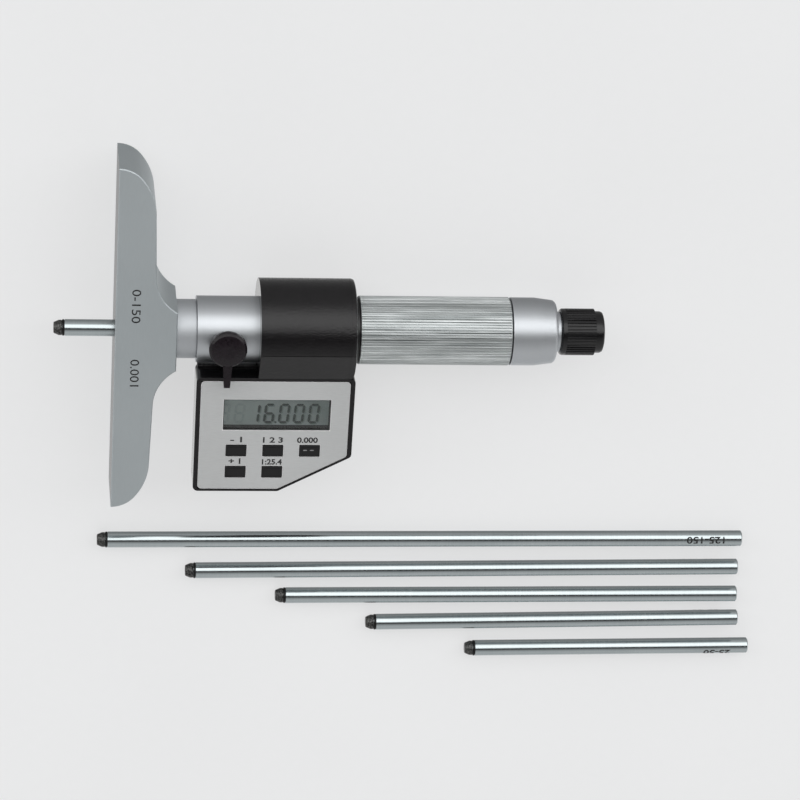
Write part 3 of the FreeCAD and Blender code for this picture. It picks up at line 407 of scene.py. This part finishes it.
def copyOfNode(name):
    first, *rest = name.split("_")
    camelName = first + "".join(word.title() for word in rest)
    piece = newCopy(camelName + "Skin", nodes[name].data)
    chooseOnly(piece)
    bpy.ops.object.mode_set(mode="EDIT")
    bpy.ops.mesh.select_all(action="SELECT")
    bpy.ops.mesh.remove_doubles(threshold=skins["merge"])
    bpy.ops.mesh.customdata_custom_splitnormals_clear()
    bpy.ops.mesh.dissolve_limited(angle_limit=math.radians(skins["flat"]))
    bpy.ops.object.mode_set(mode="OBJECT")
    return piece


def easeEdges(piece, width, steps, wanted=None):
    chooseOnly(piece)
    bpy.ops.object.mode_set(mode="EDIT")
    bpy.ops.mesh.select_mode(type="EDGE")
    bpy.ops.mesh.select_all(action="DESELECT")
    bpy.ops.mesh.edges_select_sharp(sharpness=math.radians(skins["sharpFrom"]))
    bpy.ops.object.mode_set(mode="OBJECT")
    if wanted:
        points = piece.data.vertices
        for edge in piece.data.edges:
            edge.select = edge.select and all(wanted(points[v].co) for v in edge.vertices)
    bpy.ops.object.mode_set(mode="EDIT")
    bpy.ops.mesh.bevel(offset=width, segments=steps, affect="EDGES", clamp_overlap=True)
    bpy.ops.object.mode_set(mode="OBJECT")


def smooth(piece):
    chooseOnly(piece)
    bpy.ops.object.shade_smooth_by_angle(angle=math.radians(skins["smoothTo"]))
    piece.modifiers.new("flats", "WEIGHTED_NORMAL").keep_sharp = True
    bpy.ops.object.modifier_apply(modifier="flats")


# Faces that look the wanted way get a second paint.
def paintFaces(piece, paintName, wanted):
    piece.data.materials.append(paints[paintName])
    for face in piece.data.polygons:
        if wanted(face.normal):
            face.material_index = 1


def addSkin(name, width, steps, wanted=None):
    piece = copyOfNode(name)
    if width:
        easeEdges(piece, width, steps, wanted)
    smooth(piece)
    dress(piece, slotOf[name], bodyOf[name])
    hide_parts(name)
    return piece


copies = {name: addSkin(name, width, steps) for name, (width, steps) in skins["easing"].items()}
for name in ("ring_shell", "ring_end_cap"):
    paintFaces(copies[name], "housingGloss", lambda normal: abs(normal.x) > skins["ends"])
# The base's faces looking along -X get darker steel: painted shade on a smoother lapped finish.
paintFaces(copies["base"], "lappedAndShadedSteel", lambda normal: normal.x < -skins["ends"])
# The faceplate's upward bevels are painted near white: a painted highlight along its edges.
paintFaces(copies["faceplate"], "plateEdgeHighlight",
           lambda normal: skins["highlightBevels"][0] < normal.z < skins["highlightBevels"][1])
paintFaces(copies["back_cover"], "housingGloss", lambda normal: abs(normal.z) < skins["sides"])
copies["neck"].data.materials[0] = paints["neckSatin"]
print("soft copies are made,", len(copies))


# box: only the edges of its open face are eased, and its sides are glossy
box = {"edge": 0.00022, "steps": 3, "reach": 0.00001}

# lip: dark trim on the box's wall that closes it against the sleeve
lip = {
    "from": 0.0004,
    "to": 0.0001,
    "inside": 0.0002,
    "out": 0.00075,
    "low": 0.0001,
    "height": 0.0024,
    "edge": 0.0003,
    "steps": 4,
}


def addLip():
    low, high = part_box("box_shell")
    start, end = low.x + lip["from"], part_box("ring_shell")[0].x + lip["to"]
    front, back = high.y - lip["inside"], high.y + lip["out"]
    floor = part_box("back_cover")[0].z + lip["low"]
    middle = ((start + end) / 2, (front + back) / 2, floor + lip["height"] / 2)
    piece = newBlock((end - start, back - front, lip["height"]), middle)
    easeEdges(piece, lip["edge"], lip["steps"])
    smooth(piece)
    piece.name = "boxLip"
    dress(piece, "housing_black", "frame")


def addBox():
    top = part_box("box_shell")[1].z - box["reach"]
    piece = addSkin("box_shell", box["edge"], box["steps"], lambda point: point.z > top)
    paintFaces(piece, "housingGloss", lambda normal: abs(normal.z) < skins["sides"])
    lens = addSkin("window_lens", 0, 0)
    paintFaces(lens, "blackEdgeAndPaintedShade", lambda normal: abs(normal.z) < skins["lensSides"])


addBox()
addLip()
print("box, lip and lens are made")


# cover screws: a cross recess in each head
screws = {
    "reach": 0.00001,
    "apart": 0.005,  # points nearer than this are on one head
    "long": 0.0018,
    "wide": 0.00045,
    "deep": 0.0004,
    "edge": 0.00008,
    "steps": 2,
}


# The middles of the screws' heads, from the lowest points of their mesh.
def headMiddles(piece):
    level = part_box("cover_screws")[0].z + screws["reach"]
    heads = []
    for point in piece.data.vertices:
        if point.co.z < level:
            near = [head for head in heads if (head[0] - point.co).length < screws["apart"]]
            if near:
                near[0].append(point.co.copy())
            else:
                heads.append([point.co.copy()])
    return [(Vector(map(min, *head)) + Vector(map(max, *head))) / 2 for head in heads]


def cutRecess(piece, middle):
    long, wide, deep = screws["long"], screws["wide"], screws["deep"] * 2
    for size in ((long, wide, deep), (wide, long, deep)):
        bar = newBlock(size, middle)
        chooseOnly(piece)
        cut = piece.modifiers.new("recess", "BOOLEAN")
        cut.operation = "DIFFERENCE"
        cut.object = bar
        bpy.ops.object.modifier_apply(modifier="recess")
        bpy.data.objects.remove(bar)


def addScrews():
    piece = copyOfNode("cover_screws")
    middles = headMiddles(piece)
    easeEdges(piece, screws["edge"], screws["steps"])
    for middle in middles:
        cutRecess(piece, middle)
    smooth(piece)
    dress(piece, "screw_steel", bodyOf["cover_screws"])
    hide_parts("cover_screws")
    print("cover screws have their recess,", len(middles))


addScrews()


# display: seven-segment figures, their painted shadows, and a dark border of painted shade between
# the panel and its window
display = {
    "reading": "16000",
    "first": 0.03778,
    "middle": -0.0211,
    "pitch": 0.00399,
    "halfWidth": 0.00110,
    "halfHeight": 0.00264,
    "stroke": 0.00070,
    "gap": 0.00010,
    "slant": 0.09,
    "lift": 0.000004,
    "layer": 0.000003,
    "thickness": 0.000002,
    "barBevel": 0.45,  # share of the bar's width, here and below
    "pointBevel": 0.3,
    "shadeBorderBevel": 0.1,
    "pointPlace": 1.5,  # in figures from the first
    "pointSize": 0.0006,
    "faintPlaces": (-2, -1),
    "shadow": (0.0003, -0.0003),
    # border bands: painted shade, widest at the bottom and right, where the window's recess shades
    # the panel
    "shadeBorders": {"low": 0.00115, "right": 0.0004, "left": 0.0002, "high": 0.0003},
}
# bar: across and up from the figure's middle, in half sizes, and whether it stands upright
barPlaces = {
    "a": (0, 1, False), "b": (1, 0.5, True), "c": (1, -0.5, True), "d": (0, -1, False),
    "e": (-1, -0.5, True), "f": (-1, 0.5, True), "g": (0, 0, False),
}
figures = {"0": "abcdef", "1": "bc", "6": "acdefg"}


def newBar(length, width, bevel):
    bpy.ops.object.select_all(action="DESELECT")
    bpy.ops.mesh.primitive_plane_add(size=1)
    bar = bpy.context.object
    bar.data.transform(Matrix.Diagonal((length, width, 1, 1)))
    bpy.ops.object.mode_set(mode="EDIT")
    bpy.ops.mesh.select_all(action="SELECT")
    bpy.ops.mesh.bevel(offset=bevel, segments=1, affect="VERTICES")
    bpy.ops.mesh.select_all(action="SELECT")
    rise = {"value": (0, 0, display["thickness"])}
    bpy.ops.mesh.extrude_region_move(TRANSFORM_OT_translate=rise)
    bpy.ops.mesh.select_all(action="SELECT")
    bpy.ops.mesh.normals_make_consistent(inside=False)
    bpy.ops.object.mode_set(mode="OBJECT")
    return bar


def addFigures(name, marks, paintName, layer, shift=(0, 0)):
    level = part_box("display_panel")[1].z + display["lift"] + display["layer"] * layer
    stroke = display["stroke"]
    bevel = stroke * display["barBevel"]
    flat = newBar(display["halfWidth"] * 2 - display["gap"] * 2, stroke, bevel)
    tall = newBar(display["halfHeight"] - display["gap"] * 2, stroke, bevel)
    lean = Matrix.Identity(4)
    lean[0][1] = display["slant"]
    bars = []
    for place, bar in marks:
        across, up, upright = barPlaces[bar]
        copy = newCopy(name, (tall if upright else flat).data)
        inCell = Matrix.Translation((across * display["halfWidth"], up * display["halfHeight"], 0))
        turn = Matrix.Rotation(math.pi / 2 if upright else 0, 4, "Z")
        x = display["first"] + place * display["pitch"] + shift[0]
        cell = Matrix.Translation((x, display["middle"] + shift[1], level))
        copy.data.transform(cell @ lean @ inCell @ turn)
        bars.append(copy)
    for spare in (flat, tall):
        bpy.data.objects.remove(spare)
    dress(joined(bars, name), paintName, "frame")


def addDecimalPoint():
    size = display["pointSize"]
    point = newBar(size, size, size * display["pointBevel"])
    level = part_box("display_panel")[1].z + display["lift"] + display["layer"] * 2
    across = display["first"] + display["pointPlace"] * display["pitch"]
    across -= display["slant"] * display["halfHeight"]
    up = display["middle"] - display["halfHeight"]
    point.data.transform(Matrix.Translation((across, up, level)))
    point.name = "decimalPoint"
    dress(point, "segmentDark", "frame")


# Dark bands on the panel under the window's edges: painted shade.
def addShadeBorder():
    low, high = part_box("window_lens")
    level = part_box("display_panel")[1].z + display["lift"] + display["layer"] * 3
    shadeBands = display["shadeBorders"]
    width, height = high.x - low.x, high.y - low.y
    bars = []
    for across, up, long, wide in (
        (width / 2, shadeBands["low"] / 2, width, shadeBands["low"]),
        (width / 2, height - shadeBands["high"] / 2, width, shadeBands["high"]),
        (shadeBands["left"] / 2, height / 2, shadeBands["left"], height),
        (width - shadeBands["right"] / 2, height / 2, shadeBands["right"], height),
    ):
        bar = newBar(long, wide, min(long, wide) * display["shadeBorderBevel"])
        bar.data.transform(Matrix.Translation((low.x + across, low.y + up, level)))
        bars.append(bar)
    dress(joined(bars, "displayShadeBorder"), "blackEdgeAndPaintedShade", "frame")


def addDisplay():
    lit = [(place, bar)
           for place, figure in enumerate(display["reading"]) for bar in figures[figure]]
    faint = [(place, bar) for place in display["faintPlaces"] for bar in barPlaces]
    addFigures("faintFigures", faint, "segmentFaint", 0)
    addFigures("figureShadows", lit, "segmentShadow", 1, display["shadow"])
    addFigures("litFigures", lit, "segmentDark", 2)
    addDecimalPoint()
    addShadeBorder()


addDisplay()
print("display figures are in place")


# marks: plain numbers and signs, a hair above the face that carries them
marks = {
    "lift": 0.000002,
    "thickness": 0.00001,
    "curveSteps": 4,
    "merge": 0.0001,  # before the words take their size
    "bold": {"base": 0.002, "keys": 0.03, "rods": 0.02},
    "base": [  # words, middle along the base, length, height
        ("0-150", 0.0106, 0.0098, 0.00235),
        ("0.001", -0.0091, 0.0080, 0.00235),
    ],
    "baseLine": 0.0054,
    "keys": [  # words, across, up, length, height
        ("- 1", 0.0331, -0.0285, 0.0032, 0.0017),
        ("1 2 3", 0.0430, -0.0286, 0.0054, 0.0017),
        ("0.000", 0.0523, -0.0286, 0.0056, 0.0017),
        ("+ 1", 0.0329, -0.0351, 0.0032, 0.0017),
        ("1:25.4", 0.0430, -0.0353, 0.0054, 0.0017),
    ],
    "rods": {  # rod: words, degrees round the rod from straight up to the base's top end
        5: ("125-150", 14),
        4: ("100-125", 150),
        3: ("75-100", 195),
        2: ("50-75", 140),
        1: ("25-50", -31),
    },
    "rodHeight": 0.0021,
    "rodFigure": 0.00155,
    "rodGap": 0.0051,
    "rodCuts": 3,
    "dashes": [  # across, up, length, width
        (-0.0012, 0.0003, 0.0010, 0.0003),
        (0.0006, 0.0003, 0.0010, 0.0003),
    ],
    "dashBevel": 0.3,
}


def newWords(words, length, height, bold):
    bpy.ops.object.select_all(action="DESELECT")
    bpy.ops.object.text_add()
    piece = bpy.context.object
    piece.data.body = words
    piece.data.size = 1
    piece.data.offset = bold
    piece.data.resolution_u = marks["curveSteps"]
    bpy.ops.object.convert(target="MESH")
    bpy.ops.object.mode_set(mode="EDIT")
    bpy.ops.mesh.select_all(action="SELECT")
    bpy.ops.mesh.remove_doubles(threshold=marks["merge"])
    bpy.ops.mesh.extrude_region_move(TRANSFORM_OT_translate={"value": (0, 0, 1)})
    bpy.ops.mesh.select_all(action="SELECT")
    bpy.ops.mesh.normals_make_consistent(inside=False)
    bpy.ops.object.mode_set(mode="OBJECT")
    xs = [point.co.x for point in piece.data.vertices]
    ys = [point.co.y for point in piece.data.vertices]
    middle = Matrix.Translation((-(min(xs) + max(xs)) / 2, -(min(ys) + max(ys)) / 2, 0))
    long, tall = max(xs) - min(xs), max(ys) - min(ys)
    size = Matrix.Diagonal((length / long, height / tall, marks["thickness"], 1))
    piece.data.transform(size @ middle)
    return piece


def addBaseMarks():
    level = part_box("base")[1].z + marks["lift"]
    turn = Matrix.Rotation(-math.pi / 2, 4, "Z")
    for number, (words, along, length, height) in enumerate(marks["base"], 1):
        piece = newWords(words, length, height, marks["bold"]["base"])
        piece.data.transform(Matrix.Translation((marks["baseLine"], along, level)) @ turn)
        piece.name = "baseNumber%d" % number
        dress(piece, "markInk", "frame")


def addKeyMarks():
    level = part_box("faceplate")[1].z + marks["lift"]
    for number, (words, across, up, length, height) in enumerate(marks["keys"], 1):
        piece = newWords(words, length, height, marks["bold"]["keys"])
        piece.data.transform(Matrix.Translation((across, up, level)))
        piece.name = "keySign%d" % number
        dress(piece, "keyInk", "frame")


# The middle of a spare rod's axis, turned the way it lies, with its length and radius.
def rodFrame(number):
    rod = "spare_rod_%d" % number
    low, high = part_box(rod)
    slide = [joint for joint in behaviour["joints"] if joint["child"] == rod][0]
    turn = Vector((1, 0, 0)).rotation_difference(Vector(slide["axis"]))
    place = Matrix.Translation((low + high) / 2) @ turn.to_matrix().to_4x4()
    return place, high.x - low.x, (high.z - low.z) / 2


def addRodMarks():
    for number, (words, degrees) in marks["rods"].items():
        place, rodLength, radius = rodFrame(number)
        length = marks["rodFigure"] * len(words)
        piece = newWords(words, length, marks["rodHeight"], marks["bold"]["rods"])
        chooseOnly(piece)
        bpy.ops.object.mode_set(mode="EDIT")
        bpy.ops.mesh.select_all(action="SELECT")
        bpy.ops.mesh.subdivide(number_cuts=marks["rodCuts"])
        bpy.ops.object.mode_set(mode="OBJECT")
        along = rodLength / 2 - marks["rodGap"] - length / 2
        for point in piece.data.vertices:
            x, y, z = point.co
            angle = math.radians(degrees) - y / radius
            out = radius + marks["lift"] + z
            point.co = (along - x, math.sin(angle) * out, math.cos(angle) * out)
        piece.data.transform(place)
        piece.name = "rodNumber%d" % number
        dress(piece, "markInk", "spare_rod_%d" % number)


def addZeroDashes():
    low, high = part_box("button_zero")
    middle = (low + high) / 2
    bars = []
    for across, up, length, width in marks["dashes"]:
        bar = newBar(length, width, width * marks["dashBevel"])
        place = (middle.x + across, middle.y + up, high.z + marks["lift"])
        bar.data.transform(Matrix.Translation(place))
        bars.append(bar)
    dress(joined(bars, "zeroDashes"), "keyDash", bodyOf["button_zero"])


addBaseMarks()
addKeyMarks()
addRodMarks()
addZeroDashes()
print("marks are in place")


# tip rings: an open black ring in the groove behind each dark tip
tipRing = {
    "middle": 0.00198,
    "thick": 0.00025,
    "stretch": 1.3,
    "back": 0.00034,
    "openFrom": 0.0018,
    "steps": (48, 12),
}


def newTipRing():
    bpy.ops.object.select_all(action="DESELECT")
    around, across = tipRing["steps"]
    bpy.ops.mesh.primitive_torus_add(major_radius=tipRing["middle"],
                                     minor_radius=tipRing["thick"],
                                     major_segments=around, minor_segments=across)
    ring = bpy.context.object
    bpy.ops.object.mode_set(mode="EDIT")
    bpy.ops.mesh.select_mode(type="VERT")
    bpy.ops.mesh.select_all(action="DESELECT")
    bpy.ops.object.mode_set(mode="OBJECT")
    for point in ring.data.vertices:
        point.select = point.co.y < -tipRing["openFrom"]
    bpy.ops.object.mode_set(mode="EDIT")
    bpy.ops.mesh.delete(type="VERT")
    bpy.ops.mesh.select_all(action="SELECT")
    bpy.ops.mesh.fill_holes(sides=0)
    bpy.ops.mesh.normals_make_consistent(inside=False)
    bpy.ops.object.mode_set(mode="OBJECT")
    upright = Matrix.Rotation(math.pi / 2, 4, "Y")
    ring.data.transform(upright @ Matrix.Diagonal((1, 1, tipRing["stretch"], 1)))
    return ring


def addTipRings():
    first = newTipRing()
    for number in (0, *spareRods):
        rod = "spare_rod_%d" % number if number else "measuring_rod"
        tip = "spare_rod_tip_%d" % number if number else "rod_tip"
        low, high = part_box(tip)
        middle = (low + high) / 2
        ring = newCopy("tipRing%d" % number, first.data)
        ring.data.transform(Matrix.Translation((high.x + tipRing["back"], middle.y, middle.z)))
        smooth(ring)
        dress(ring, "ringRubber", bodyOf[rod])
    bpy.data.objects.remove(first)


addTipRings()
print("tip rings are made")


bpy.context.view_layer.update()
